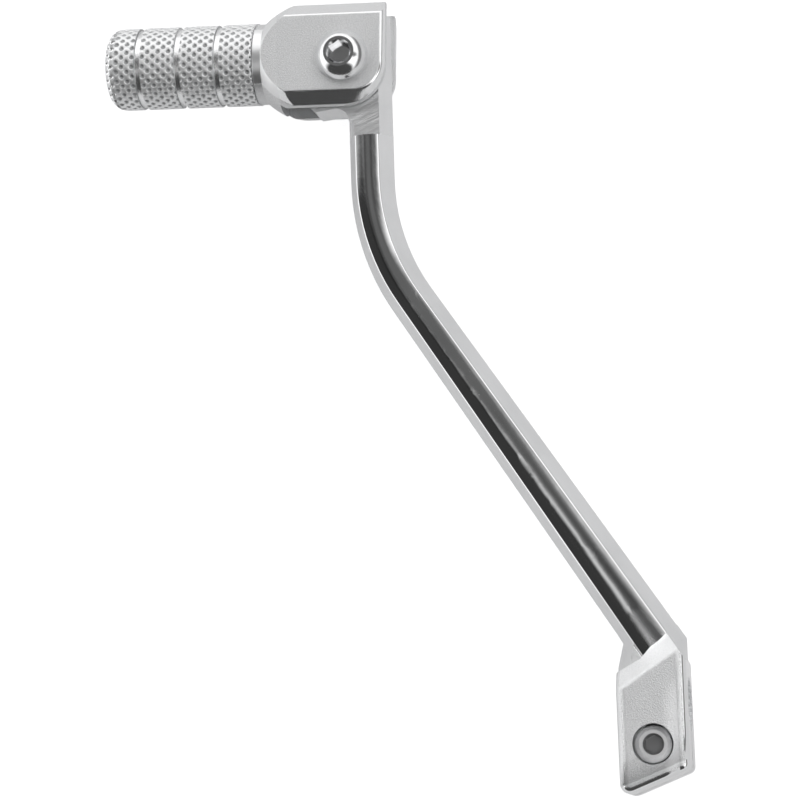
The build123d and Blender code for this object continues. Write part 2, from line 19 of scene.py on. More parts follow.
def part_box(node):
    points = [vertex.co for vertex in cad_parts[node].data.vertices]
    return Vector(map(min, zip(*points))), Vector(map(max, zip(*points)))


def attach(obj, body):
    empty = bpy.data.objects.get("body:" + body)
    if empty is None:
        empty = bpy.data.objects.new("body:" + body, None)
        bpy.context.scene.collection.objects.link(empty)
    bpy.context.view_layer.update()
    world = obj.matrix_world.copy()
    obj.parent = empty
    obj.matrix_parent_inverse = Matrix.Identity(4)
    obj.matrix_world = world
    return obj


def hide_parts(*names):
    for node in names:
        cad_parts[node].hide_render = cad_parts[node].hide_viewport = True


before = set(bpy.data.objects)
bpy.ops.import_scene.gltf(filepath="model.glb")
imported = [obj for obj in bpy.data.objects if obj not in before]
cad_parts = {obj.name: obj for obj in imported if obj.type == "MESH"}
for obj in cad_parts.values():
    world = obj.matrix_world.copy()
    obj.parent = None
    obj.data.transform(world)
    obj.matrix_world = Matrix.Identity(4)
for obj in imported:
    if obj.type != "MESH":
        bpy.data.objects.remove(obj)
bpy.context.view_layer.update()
log = logging.getLogger("lever")
MM = 0.001
Socket = bpy.types.NodeSocket
Colour = tuple[float, float, float]
Point = tuple[float, float, float]


class Slot(Enum):
    """Material slots of the record."""

    ARM = "polished_aluminium"
    TIP = "knurled_aluminium"
    CHROME = "chromed_steel"
    ZINC = "zinc_steel"
    BRONZE = "bronze"
    SPRING = "spring_steel"
    NYLON = "nylon"


class Body(Enum):
    """Bodies of the mechanism."""

    ARM = "arm"
    TIP = "tip"
    PLUNGER = "plunger"


# ---------------------------------------------------------------- finishes


class Graph:
    """A material's node tree, with short calls for the kinds of node that the finishes use."""

    def __init__(self, name: str) -> None:
        """Starts a material with one Principled shader.

        Args:
            name: The material's name.
        """
        self.material = bpy.data.materials.new(name)
        self.material.use_nodes = True
        self.tree = self.material.node_tree
        self.shader = self.tree.nodes["Principled BSDF"]

    def _new(self, kind: str) -> bpy.types.Node:
        """Adds a node of that kind."""
        return self.tree.nodes.new(kind)

    def _feed(self, target: Socket, value: Socket | float | Point) -> None:
        """Links a socket, or sets a plain value."""
        if isinstance(value, bpy.types.NodeSocket):
            self.tree.links.new(value, target)
        else:
            target.default_value = value

    def place(self) -> Socket:
        """Gives the Object coordinates, which are row frame metres here."""
        return self._new("ShaderNodeTexCoord").outputs["Object"]

    def facing(self) -> Socket:
        """Gives the surface's normal."""
        return self._new("ShaderNodeTexCoord").outputs["Normal"]

    def turned(self, vector: Socket, turn: Point, scale: Point) -> Socket:
        """Turns a vector, then stretches it.

        Args:
            vector: The vector.
            turn: Degrees about X, Y and Z.
            scale: Factors along the turned axes.

        Returns:
            The new vector.
        """
        rotate = self._new("ShaderNodeMapping")
        self._feed(rotate.inputs["Vector"], vector)
        rotate.inputs["Rotation"].default_value = [math.radians(angle) for angle in turn]
        stretch = self._new("ShaderNodeMapping")
        self._feed(stretch.inputs["Vector"], rotate.outputs[0])
        stretch.inputs["Scale"].default_value = scale
        return stretch.outputs[0]

    def from_line(self, vector: Socket, through: Point, turn: float, keep: Point) -> Socket:
        """Measures the distance from a line.

        Args:
            vector: Where it is measured.
            through: A point of the line.
            turn: Degrees about Z that bring the line onto an axis.
            keep: 0 for that axis and 1 for the other two.

        Returns:
            The distance.
        """
        offset = self._new("ShaderNodeVectorMath")
        offset.operation = "SUBTRACT"
        self._feed(offset.inputs[0], vector)
        offset.inputs[1].default_value = through
        length = self._new("ShaderNodeVectorMath")
        length.operation = "LENGTH"
        self._feed(length.inputs[0], self.turned(offset.outputs[0], (0.0, 0.0, turn), keep))
        return length.outputs["Value"]

    def axis(self, vector: Socket, letter: str) -> Socket:
        """Gives one component of a vector."""
        split = self._new("ShaderNodeSeparateXYZ")
        self._feed(split.inputs[0], vector)
        return split.outputs[letter]

    def math(self, kind: str, first: Socket | float, second: Socket | float = 0.0) -> Socket:
        """Does one sum.

        Args:
            kind: The Math node's operation.
            first: First value.
            second: Second value, for operations that take two.

        Returns:
            The result.
        """
        node = self._new("ShaderNodeMath")
        node.operation = kind
        self._feed(node.inputs[0], first)
        self._feed(node.inputs[1], second)
        return node.outputs[0]

    def fade(
        self, value: Socket, low: float, high: float, start: float = 0.0, end: float = 1.0
    ) -> Socket:
        """Maps a range smoothly onto another.

        Args:
            value: The value.
            low: Where the change starts.
            high: Where it ends.
            start: Result at or under low.
            end: Result at or over high.

        Returns:
            The mapped value.
        """
        node = self._new("ShaderNodeMapRange")
        node.interpolation_type = "SMOOTHSTEP"
        self._feed(node.inputs["Value"], value)
        node.inputs["From Min"].default_value = low
        node.inputs["From Max"].default_value = high
        node.inputs["To Min"].default_value = start
        node.inputs["To Max"].default_value = end
        return node.outputs["Result"]

    def noise(self, vector: Socket, scale: float, detail: float = 3.0, rough: float = 0.5) -> Socket:
        """Gives soft noise from 0 to 1.

        Args:
            vector: Where it is read.
            scale: Cells per metre.
            detail: Octaves.
            rough: Strength of the finer octaves.

        Returns:
            The noise.
        """
        node = self._new("ShaderNodeTexNoise")
        self._feed(node.inputs["Vector"], vector)
        node.inputs["Scale"].default_value = scale
        node.inputs["Detail"].default_value = detail
        node.inputs["Roughness"].default_value = rough
        return node.outputs["Fac"]

    def slump(self, value: Socket, end: float, reach: float) -> Socket:
        """Gives a fall that grows evenly steeper up to a place and is level beyond it.

        Args:
            value: A coordinate.
            end: The place, where the fall is 1.
            reach: How far before that it starts.

        Returns:
            The fall.
        """
        share = self.math("DIVIDE", self.math("SUBTRACT", end + reach, value), reach)
        return self.math("POWER", self.math("MINIMUM", self.math("MAXIMUM", share, 0.0), 1.0), 2.0)

    def pits(self, vector: Socket, scale: float, size: float) -> Socket:
        """Gives scattered round specks, 1 in a speck's middle.

        Args:
            vector: Where it is read.
            scale: Specks per metre.
            size: Speck radius as a share of the spacing.

        Returns:
            The specks.
        """
        node = self._new("ShaderNodeTexVoronoi")
        self._feed(node.inputs["Vector"], vector)
        node.inputs["Scale"].default_value = scale
        return self.fade(node.outputs["Distance"], 0.0, size, 1.0, 0.0)

    def blend(self, factor: Socket | float, first: Colour, second: Colour) -> Socket:
        """Mixes two plain colours.

        Args:
            factor: 0 for the first colour, 1 for the second.
            first: First colour.
            second: Second colour.

        Returns:
            The mixed colour.
        """
        node = self._new("ShaderNodeMix")
        node.data_type = "RGBA"
        self._feed(node.inputs["Factor"], factor)
        colour_a = [socket for socket in node.inputs if socket.identifier == "A_Color"][0]
        colour_b = [socket for socket in node.inputs if socket.identifier == "B_Color"][0]
        colour_a.default_value = (*first, 1.0)
        colour_b.default_value = (*second, 1.0)
        return [socket for socket in node.outputs if socket.identifier == "Result_Color"][0]

    def tint(self, factor: Socket, under: Socket, over: Colour) -> Socket:
        """Lays a plain colour over a colour.

        Args:
            factor: 0 where the lower colour shows, 1 where the upper one does.
            under: Lower colour.
            over: Upper colour.

        Returns:
            The mixed colour.
        """
        mixed = self.blend(factor, over, over)
        node = mixed.node
        self._feed([socket for socket in node.inputs if socket.identifier == "A_Color"][0], under)
        return mixed

    def between(self, factor: Socket, first: Socket | float, second: Socket | float) -> Socket:
        """Mixes two values.

        Args:
            factor: 0 for the first, 1 for the second.
            first: First value.
            second: Second value.

        Returns:
            The mixed value.
        """
        node = self._new("ShaderNodeMix")
        node.data_type = "FLOAT"
        self._feed(node.inputs[0], factor)
        self._feed(node.inputs[2], first)
        self._feed(node.inputs[3], second)
        return node.outputs[0]

    def bump(self, height: Socket, depth: float, under: Socket | None = None) -> Socket:
        """Raises the surface by a height map.

        Args:
            height: Height, 0 to 1.
            depth: Metres between heights 0 and 1.
            under: Normal that it builds on.

        Returns:
            The new normal.
        """
        node = self._new("ShaderNodeBump")
        node.inputs["Strength"].default_value = 1.0
        node.inputs["Distance"].default_value = depth
        self._feed(node.inputs["Height"], height)
        if under is not None:
            self._feed(node.inputs["Normal"], under)
        return node.outputs[0]

    def finish(
        self, colour: Socket, rough: Socket, normal: Socket, metallic: float = 1.0
    ) -> bpy.types.Material:
        """Feeds the shader.

        Args:
            colour: Base colour.
            rough: Roughness.
            normal: Normal.
            metallic: 1 for bare metal, 0 for plastic.

        Returns:
            The finished material.
        """
        self._feed(self.shader.inputs["Base Color"], colour)
        self._feed(self.shader.inputs["Roughness"], rough)
        self._feed(self.shader.inputs["Normal"], normal)
        self.shader.inputs["Metallic"].default_value = metallic
        return self.material


@dataclass(frozen=True)
class ForgedFinish:
    """Polished forging with blasted plateaus and a milled end."""

    name: str = "polished_forging"
    bright: Colour = (0.93, 0.935, 0.94)
    dull: Colour = (0.86, 0.865, 0.87)
    gloss: float = 0.05
    satin: float = 0.35
    brushed: float = 0.3
    bore_rough: float = 0.8
    bore: float = 6.2 * MM
    boss_from: float = 5.35 * MM
    boss_reach: float = 19.0 * MM
    root_across: float = -4.2 * MM
    root_reach: float = 34.0 * MM
    sweep: float = 32.8
    fall_angle: float = 21.0
    fall_depth: float = 1.6 * MM
    tail_at: float = -15.1 * MM
    tail_fall: float = 5.6 * MM
    side_at: float = -5.9 * MM
    side_fall: float = 3.6 * MM
    side_from: float = -2.0 * MM
    side_to: float = 10.0 * MM
    milled_from: float = 140.5 * MM
    milled_half: float = 4.75 * MM

    def material(self) -> bpy.types.Material:
        """Gives the arm's material."""
        graph = Graph(self.name)
        place = graph.place()
        height = graph.math("ABSOLUTE", graph.axis(place, "Z"))
        upright = graph.math("ABSOLUTE", graph.axis(graph.facing(), "Z"))
        run = graph.turned(place, (0.0, 0.0, -self.sweep), (1.0, 1.0, 1.0))
        reach = graph.axis(run, "X")
        across = graph.axis(run, "Y")
        lean = graph.axis(graph.turned(graph.facing(), (0.0, 0.0, -self.sweep), (1.0, 1.0, 1.0)), "X")
        ramp = graph.math("MAXIMUM", graph.fade(upright, 0.8, 0.99), graph.fade(lean, 0.1, 0.3))
        boss = graph.math("MULTIPLY", graph.fade(height, self.boss_from, self.boss_from + 0.0015), ramp)
        near = graph.fade(reach, self.boss_reach, self.boss_reach + 0.002, 1.0, 0.0)
        boss = graph.math("MULTIPLY", boss, near)
        root = graph.math(
            "MULTIPLY",
            graph.fade(across, self.root_across, self.root_across + 0.0003),
            graph.fade(reach, self.root_reach, self.root_reach + 0.002, 1.0, 0.0),
        )
        root = graph.math("MULTIPLY", root, graph.fade(upright, 0.97, 0.999))
        plateau = graph.math("MAXIMUM", boss, root)
        spoke = graph.from_line(place, (0.0, 0.0, 0.0), 0.0, (1.0, 0.0, 1.0))
        bore = graph.fade(spoke, self.bore, self.bore + 0.0002, 1.0, 0.0)
        forward = graph.axis(place, "X")
        milled = graph.math(
            "MULTIPLY",
            graph.fade(forward, self.milled_from, self.milled_from + 0.0004),
            graph.fade(height, self.milled_half, self.milled_half + 0.0002, 1.0, 0.0),
        )
        cloud = graph.noise(place, 90.0, 4.0)
        smear = graph.noise(graph.turned(place, (0.0, 0.0, -32.8), (30.0, 700.0, 700.0)), 1.0, 4.0, 0.6)
        polish = graph.fade(smear, 0.3, 0.8, self.gloss, self.gloss + 0.07)
        rough = graph.between(plateau, polish, self.satin)
        rough = graph.between(milled, rough, self.brushed)
        rough = graph.between(bore, rough, self.bore_rough)
        ripple = graph.bump(cloud, 0.000035)
        hairs = graph.noise(graph.turned(place, (0.0, 0.0, -32.8), (60.0, 5000.0, 5000.0)), 1.0, 2.0)
        lines = graph.bump(graph.fade(hairs, 0.62, 0.75), 0.0000006, ripple)
        specks = graph.bump(graph.pits(place, 420.0, 0.09), -0.000006, lines)
        back = graph.axis(graph.turned(place, (0.0, 0.0, -self.fall_angle), (1.0, 1.0, 1.0)), "X")
        tail = graph.slump(back, self.tail_at, self.tail_fall)
        side = graph.slump(graph.axis(place, "Y"), self.side_at, self.side_fall)
        side = graph.math("MULTIPLY", side, graph.fade(forward, self.side_from, self.side_to, 0.6, 0.0))
        fall = graph.math("MULTIPLY", graph.math("ADD", tail, side), -1.0)
        slumped = graph.bump(fall, self.fall_depth, specks)
        sand = graph.noise(place, 2600.0, 3.0, 0.75)
        grain = graph.bump(graph.math("MULTIPLY", sand, plateau), 0.00016, slumped)
        cutter = graph.noise(graph.turned(place, (0.0, 0.0, -24.0), (3200.0, 90.0, 90.0)), 1.0, 3.0)
        brushing = graph.bump(graph.math("MULTIPLY", cutter, milled), 0.00007, grain)
        mottle = graph.math("MULTIPLY", graph.fade(sand, 0.35, 0.65), plateau)
        veil = graph.math("MAXIMUM", graph.fade(cloud, 0.3, 0.8), mottle)
        return graph.finish(graph.blend(veil, self.bright, self.dull), rough, brushing)


@dataclass(frozen=True)
class HeadFinish:
    """Machined head: satin flats and walls, bright bevels, smooth turned shoulder."""

    name: str = "machined_head"
    bright: Colour = (0.92, 0.925, 0.93)
    dull: Colour = (0.74, 0.745, 0.75)
    gloss: float = 0.16
    satin: float = 0.58
    turned: float = 0.32
    flat_from: float = 9.9 * MM
    bevel_from: float = 7.15 * MM
    shoulder_from: float = 84.0 * MM
    pivot: Point = (159.5 * MM, 68.1 * MM, 0.0)
    slot_half: float = 5.25 * MM

    def material(self) -> bpy.types.Material:
        """Gives the head's material."""
        graph = Graph(self.name)
        place = graph.place()
        height = graph.math("ABSOLUTE", graph.axis(place, "Z"))
        upright = graph.math("ABSOLUTE", graph.axis(graph.facing(), "Z"))
        level = graph.fade(upright, 0.9, 0.98)
        flat = graph.math("MULTIPLY", graph.fade(height, self.flat_from, self.flat_from + 0.00008), level)
        wall = graph.fade(height, self.bevel_from, self.bevel_from + 0.0002, 1.0, 0.0)
        shoulder = graph.fade(graph.axis(place, "Y"), self.shoulder_from, self.shoulder_from + 0.0004)
        slot = graph.fade(height, self.slot_half, self.slot_half + 0.0001, 1.0, 0.0)
        inner = graph.math("MULTIPLY", slot, level)
        satin = graph.math("MAXIMUM", flat, graph.math("SUBTRACT", wall, inner))
        cloud = graph.noise(place, 120.0, 4.0)
        rough = graph.between(satin, self.gloss, self.satin)
        rough = graph.between(inner, rough, self.turned)
        rough = graph.between(shoulder, rough, self.turned)
        rough = graph.math("ADD", rough, graph.fade(cloud, 0.2, 0.8, -0.02, 0.05))
        sand = graph.noise(place, 2800.0, 3.0, 0.75)
        grain = graph.bump(graph.math("MULTIPLY", sand, satin), 0.00014)
        spoke = graph.from_line(place, self.pivot, 0.0, (1.0, 1.0, 0.0))
        turning = graph.math("SINE", graph.math("MULTIPLY", spoke, 12000.0))
        grain = graph.bump(graph.math("MULTIPLY", turning, inner), 0.00002, grain)
        hairs = graph.noise(graph.turned(place, (0.0, 0.0, 50.0), (80.0, 4200.0, 900.0)), 1.0, 3.0)
        scratches = graph.bump(graph.fade(hairs, 0.66, 0.74), -0.000006, grain)
        specks = graph.bump(graph.pits(place, 500.0, 0.1), -0.00001, scratches)
        mottle = graph.math("MULTIPLY", graph.fade(sand, 0.35, 0.65, 0.35, 1.0), satin)
        veil = graph.fade(cloud, 0.3, 0.8, 0.0, 0.25)
        colour = graph.blend(graph.math("MAXIMUM", veil, mottle), self.bright, self.dull)
        return graph.finish(colour, rough, specks)


@dataclass(frozen=True)
class KnurlFinish:
    """Knurled metal: bright ridges, pits darkened with painted shade, smooth grooves."""

    name: str = "knurled_metal"
    ridge: Colour = (0.95, 0.955, 0.96)
    # pit: colour of the painted shade that darkens the knurl's pits
    pit: Colour = (0.4, 0.405, 0.41)
    ridge_rough: float = 0.36
    groove_rough: float = 0.2
    through: Point = (160.7 * MM, 68.05 * MM, 0.0)
    lean: float = 2.3
    pit_floor: float = 9.78 * MM
    crest: float = 10.05 * MM
    groove_floor: float = 9.5 * MM

    def material(self) -> bpy.types.Material:
        """Gives the sleeve's material."""
        graph = Graph(self.name)
        place = graph.place()
        radius = graph.from_line(place, self.through, self.lean, (1.0, 0.0, 1.0))
        deep = graph.fade(radius, self.pit_floor, self.crest, 1.0, 0.0)
        smooth = graph.fade(radius, self.groove_floor, self.groove_floor + 0.00008, 1.0, 0.0)
        cloud = graph.noise(place, 260.0, 4.0)
        fine = graph.noise(place, 3800.0, 3.0, 0.7)
        # cloud noise makes the painted shade in the pits patchy
        uneven_pit_shade = graph.fade(cloud, 0.25, 0.75, 0.75, 1.0)
        # dark: painted shade, strongest at the pit floors and left out of the grooves
        dark = graph.math("MULTIPLY", graph.math("MULTIPLY", deep, uneven_pit_shade), graph.math("SUBTRACT", 1.0, smooth))
        colour = graph.blend(dark, self.ridge, self.pit)
        coarse = graph.fade(fine, 0.2, 0.8, self.ridge_rough, self.ridge_rough + 0.12)
        rough = graph.between(smooth, coarse, self.groove_rough)
        tears = graph.noise(graph.turned(place, (0.0, 0.0, 0.0), (900.0, 260.0, 900.0)), 1.0, 4.0, 0.7)
        torn = graph.bump(graph.math("MULTIPLY", tears, graph.math("SUBTRACT", 1.0, smooth)), 0.00022)
        normal = graph.bump(fine, 0.00003, torn)
        return graph.finish(colour, rough, normal)


@dataclass(frozen=True)
class MetalFinish:
    """Plain metal with fine grain, clouding and specks."""

    name: str
    bright: Colour
    dull: Colour
    rough: float
    spread: float = 0.06
    grain: float = 4000.0
    depth: float = 0.000006
    socket: Point = (0.0, 0.0, 0.0)
    socket_reach: float = 0.0
    # colour of the painted shade inside a screw's socket
    socket_shade: Colour = (0.3, 0.3, 0.305)

    def material(self) -> bpy.types.Material:
        """Gives the metal's material, with painted shade darkening the screw's socket if it has one."""
        graph = Graph(self.name)
        place = graph.place()
        cloud = graph.noise(place, 300.0, 4.0)
        fine = graph.noise(place, self.grain, 3.0, 0.6)
        rough = graph.fade(cloud, 0.25, 0.8, self.rough, self.rough + self.spread)
        normal = graph.bump(fine, self.depth)
        specks = graph.bump(graph.pits(place, 900.0, 0.12), -0.00001, normal)
        colour = graph.blend(graph.fade(cloud, 0.3, 0.75), self.bright, self.dull)
        if self.socket_reach > 0.0:
            spoke = graph.from_line(place, self.socket, 0.0, (1.0, 1.0, 0.0))
            # painted shade: the colour inside the socket's reach is darkened where the recess lies in shade
            socket_shade_mask = graph.fade(spoke, self.socket_reach, self.socket_reach + 0.0002, 1.0, 0.0)
            colour = graph.tint(socket_shade_mask, colour, self.socket_shade)
        return graph.finish(colour, rough, specks)


@dataclass(frozen=True)
class NylonFinish:
    """Natural nylon, faintly cloudy."""

    name: str = "natural_nylon"
    light: Colour = (0.82, 0.82, 0.76)
    dark: Colour = (0.74, 0.73, 0.66)

    def material(self) -> bpy.types.Material:
        """Gives the nylon's material."""
        graph = Graph(self.name)
        place = graph.place()
        cloud = graph.noise(place, 500.0, 3.0)
        rough = graph.fade(cloud, 0.2, 0.8, 0.38, 0.5)
        normal = graph.bump(graph.noise(place, 2500.0, 2.0), 0.00001)
        graph.shader.inputs["Subsurface Weight"].default_value = 0.2
        graph.shader.inputs["Subsurface Radius"].default_value = (0.001, 0.001, 0.0008)
        return graph.finish(graph.blend(cloud, self.light, self.dark), rough, normal, 0.0)


# ---------------------------------------------------------------- mesh work


class Bench:
    """Edit mode helpers that work on one active mesh."""

    @staticmethod
    def clear() -> None:
        """Leaves edit mode and deselects everything."""
        if bpy.context.object is not None and bpy.context.object.mode != "OBJECT":
            bpy.ops.object.mode_set(mode="OBJECT")
        bpy.ops.object.select_all(action="DESELECT")

    @staticmethod
    def take(piece: bpy.types.Object) -> None:
        """Makes a piece the only selected one, and active."""
        Bench.clear()
        piece.select_set(True)
        bpy.context.view_layer.objects.active = piece

    @staticmethod
    def edit(kind: str = "EDGE") -> bmesh.types.BMesh:
        """Enters edit mode.

        Args:
            kind: VERT, EDGE or FACE selection.

        Returns:
            The edit mesh.
        """
        bpy.ops.object.mode_set(mode="EDIT")
        bpy.ops.mesh.select_mode(type=kind)
        return bmesh.from_edit_mesh(bpy.context.object.data)

    @staticmethod
    def mesh() -> bmesh.types.BMesh:
        """Gives the edit mesh afresh, after an operator."""
        made = bmesh.from_edit_mesh(bpy.context.object.data)
        made.verts.ensure_lookup_table()
        made.edges.ensure_lookup_table()
        made.faces.ensure_lookup_table()
        return made

    @staticmethod
    def flush() -> None:
        """Hands a selection made in code to the operators."""
        made = bmesh.from_edit_mesh(bpy.context.object.data)
        made.select_flush_mode()
        bmesh.update_edit_mesh(bpy.context.object.data)

    @staticmethod
    def done() -> None:
        """Leaves edit mode."""
        bpy.ops.object.mode_set(mode="OBJECT")

    @staticmethod
    def settle(piece: bpy.types.Object) -> None:
        """Puts a piece's place in its mesh."""
        Bench.take(piece)
        bpy.ops.object.transform_apply(location=True, rotation=True, scale=True)


@dataclass
class TipAxis:
    """The line that the peg is turned on."""

    pivot: Point = (159.5 * MM, 68.1 * MM, 0.0)
    lean: float = 2.3
    shift: float = 1.2 * MM

    @property
    def out(self) -> Vector:
        """Unit vector outboard along the peg."""
        angle = math.radians(self.lean)
        return Vector((math.sin(angle), math.cos(angle), 0.0))

    @property
    def start(self) -> Vector:
        """Point of the peg's axis beside the pivot."""
        forward = Vector((self.out.y, -self.out.x, 0.0))
        return Vector(self.pivot) + forward * self.shift

    def at(self, distance: float) -> Vector:
        """Point of the peg's axis that far outboard of the pivot."""
        return self.start + self.out * distance

    def along(self, point: Vector) -> float:
        """Distance of a point outboard of the pivot."""
        return (point - self.start).dot(self.out)

    def radius(self, point: Vector) -> float:
        """Distance of a point from the peg's axis."""
        spoke = point - self.start
        return (spoke - self.out * spoke.dot(self.out)).length

    def turn(self) -> tuple[float, float, float]:
        """Euler turn that takes +Z to the peg's direction."""
        return Vector((0.0, 0.0, 1.0)).rotation_difference(self.out).to_euler()


@dataclass
class KnurledSleeve:
    """Peg sleeve with a diamond knurl, three grooves and a rounded end."""

    axis: TipAxis
    start: float = 22.3 * MM
    end: float = 60.2 * MM
    radius: float = 10.13 * MM
    rounding: float = 3.6 * MM
    columns: int = 26
    rows: int = 13
    round_rows: int = 2
    ridge: float = 0.17 * MM
    wall: float = 0.3 * MM
    depth: float = 0.52 * MM
    plain_end: float = 0.8 * MM
    bore: float = 4.06 * MM
    bore_end: float = 45.0 * MM
    grooves: int = 3
    groove_first: float = 31.45 * MM
    groove_pitch: float = 9.96 * MM
    groove_mouth: float = 1.75 * MM
    groove_floor: float = 1.1 * MM
    groove_depth: float = 0.72 * MM

    def build(self) -> bpy.types.Object:
        """Builds the sleeve.

        Returns:
            The finished mesh object.
        """
        sleeve = self._lattice()
        self._pits()
        self._close()
        Bench.done()
        soften = sleeve.modifiers.new("soften", "SUBSURF")
        soften.levels = 1
        soften.render_levels = 1
        bpy.ops.object.modifier_apply(modifier=soften.name)
        self._cut_grooves(sleeve)
        Bench.take(sleeve)
        bpy.ops.object.shade_smooth_by_angle(angle=math.radians(38.0))
        Bench.settle(sleeve)
        sleeve.name = "knurled_sleeve"
        return sleeve

    def _lattice(self) -> bpy.types.Object:
        """Extrudes the rows of the lattice and joins their halves into diamonds."""
        length = self.end - self.rounding - self.start
        row = length / self.rows
        Bench.clear()
        bpy.ops.mesh.primitive_cylinder_add(
            vertices=self.columns,
            radius=self.radius,
            depth=row,
            end_fill_type="NOTHING",
            location=self.axis.at(self.start + row / 2),
            rotation=self.axis.turn(),
        )
        sleeve = bpy.context.object
        Bench.settle(sleeve)
        Bench.edit("EDGE")
        self._select_ring(self.start + row)
        for _ in range(self.rows - 1):
            bpy.ops.mesh.extrude_edges_move(TRANSFORM_OT_translate={"value": self.axis.out * row})
        ring = self.radius
        where = self.end - self.rounding
        for number in range(1, self.round_rows + 1):
            angle = math.pi / 2 * number / self.round_rows
            reach = self.end - self.rounding + self.rounding * math.sin(angle)
            size = self.radius - self.rounding + self.rounding * math.cos(angle)
            bpy.ops.mesh.extrude_edges_move(TRANSFORM_OT_translate={"value": self.axis.out * (reach - where)})
            bpy.ops.transform.resize(value=(size / ring,) * 3, center_override=self.axis.at(reach))
            ring = size
            where = reach
        corners = len(Bench.mesh().verts)
        bpy.ops.mesh.select_all(action="DESELECT")
        straight = self.radius * (1 - math.cos(math.pi / self.columns))
        bulge = self.rounding * (1 - math.cos(math.pi / 4 / self.round_rows))
        limit = self.end - self.rounding
        for low, high, offset in ((0.0, limit, straight), (limit, 1.0, straight * 0.8 + bulge)):
            Bench.mesh()
            bpy.ops.mesh.select_mode(type="FACE")
            bpy.ops.mesh.select_all(action="DESELECT")
            for face in Bench.mesh().faces:
                face.select = len(face.verts) == 4 and low < self.axis.along(face.calc_center_median()) < high
            Bench.flush()
            bpy.ops.mesh.poke(offset=offset, use_relative_offset=False, center_mode="MEDIAN")
        bpy.ops.mesh.select_mode(type="EDGE")
        bpy.ops.mesh.select_all(action="DESELECT")
        for edge in Bench.mesh().edges:
            old = edge.verts[0].index < corners and edge.verts[1].index < corners
            edge.select = old and len(edge.link_faces) == 2
        Bench.flush()
        bpy.ops.mesh.dissolve_edges(use_verts=False)
        return sleeve

    def _select_ring(self, distance: float) -> None:
        """Selects the open ring of edges at that distance along the peg."""
        bpy.ops.mesh.select_all(action="DESELECT")
        for edge in Bench.mesh().edges:
            near = all(abs(self.axis.along(vert.co) - distance) < 0.0002 for vert in edge.verts)
            edge.select = near and len(edge.link_faces) == 1
        Bench.flush()

    def _pits(self) -> None:
        """Sinks a pit in every diamond and leaves ridges between them."""
        bpy.ops.mesh.select_mode(type="FACE")
        bpy.ops.mesh.select_all(action="SELECT")
        bpy.ops.mesh.normals_make_consistent(inside=False)
        for face in Bench.mesh().faces:
            face.select = self.axis.along(face.calc_center_median()) < self.end - self.plain_end
        Bench.flush()
        bpy.ops.mesh.inset(thickness=self.ridge, depth=0.0, use_individual=True)
        bpy.ops.mesh.inset(thickness=self.wall, depth=-self.depth, use_individual=True)

    def _close(self) -> None:
        """Closes the outer end and turns the bore for the plunger and its spring."""
        bpy.ops.mesh.select_mode(type="EDGE")
        self._select_ring(self.end)
        for size in (0.93, 0.3):
            bpy.ops.mesh.extrude_edges_move(TRANSFORM_OT_translate={"value": (0.0, 0.0, 0.0)})
            bpy.ops.transform.resize(value=(size,) * 3, center_override=self.axis.at(self.end))
        bpy.ops.mesh.edge_face_add()
        self._select_ring(self.start)
        size = self.bore / self.radius
        bpy.ops.mesh.extrude_edges_move(TRANSFORM_OT_translate={"value": (0.0, 0.0, 0.0)})
        bpy.ops.transform.resize(value=(size,) * 3, center_override=self.axis.at(self.start))
        for reach in (0.002, self.bore_end - self.start - 0.0025, 0.0005):
            bpy.ops.mesh.extrude_edges_move(TRANSFORM_OT_translate={"value": self.axis.out * reach})
        bpy.ops.mesh.edge_face_add()
        bpy.ops.mesh.select_all(action="SELECT")
        bpy.ops.mesh.normals_make_consistent(inside=False)

    def _cut_grooves(self, sleeve: bpy.types.Object) -> None:
        """Turns the grooves with one ring cutter per groove."""
        cutters = []
        for number in range(self.grooves):
            middle = self.groove_first + number * self.groove_pitch
            Bench.clear()
            bpy.ops.mesh.primitive_cylinder_add(
                vertices=128,
                radius=self.radius + 0.0008,
                depth=self.groove_mouth + 0.0003,
                end_fill_type="NOTHING",
                location=self.axis.at(middle),
                rotation=self.axis.turn(),
            )
            ring = bpy.context.object
            Bench.settle(ring)
            Bench.edit("EDGE")
            floor = self.radius - self.groove_depth
            for side in (-1, 1):
                edge = middle + side * (self.groove_mouth / 2 + 0.00015)
                self._select_ring(edge)
                move = self.axis.out * (-side * ((self.groove_mouth - self.groove_floor) / 2 + 0.00015))
                bpy.ops.mesh.extrude_edges_move(TRANSFORM_OT_translate={"value": move})
                shrink = floor / (self.radius + 0.0008)
                centre = self.axis.at(middle + side * self.groove_floor / 2)
                bpy.ops.transform.resize(value=(shrink,) * 3, center_override=centre)
            bpy.ops.mesh.select_all(action="DESELECT")
            for edge in Bench.mesh().edges:
                edge.select = len(edge.link_faces) == 1
            Bench.flush()
            bpy.ops.mesh.bridge_edge_loops()
            bpy.ops.mesh.select_all(action="SELECT")
            bpy.ops.mesh.normals_make_consistent(inside=False)
            Bench.done()
            cutters.append(ring)
        for ring in cutters:
            Bench.take(sleeve)
            cut = sleeve.modifiers.new("groove", "BOOLEAN")
            cut.operation = "DIFFERENCE"
            cut.solver = "EXACT"
            cut.object = ring
            bpy.ops.object.modifier_apply(modifier=cut.name)
            bpy.data.objects.remove(ring, do_unlink=True)


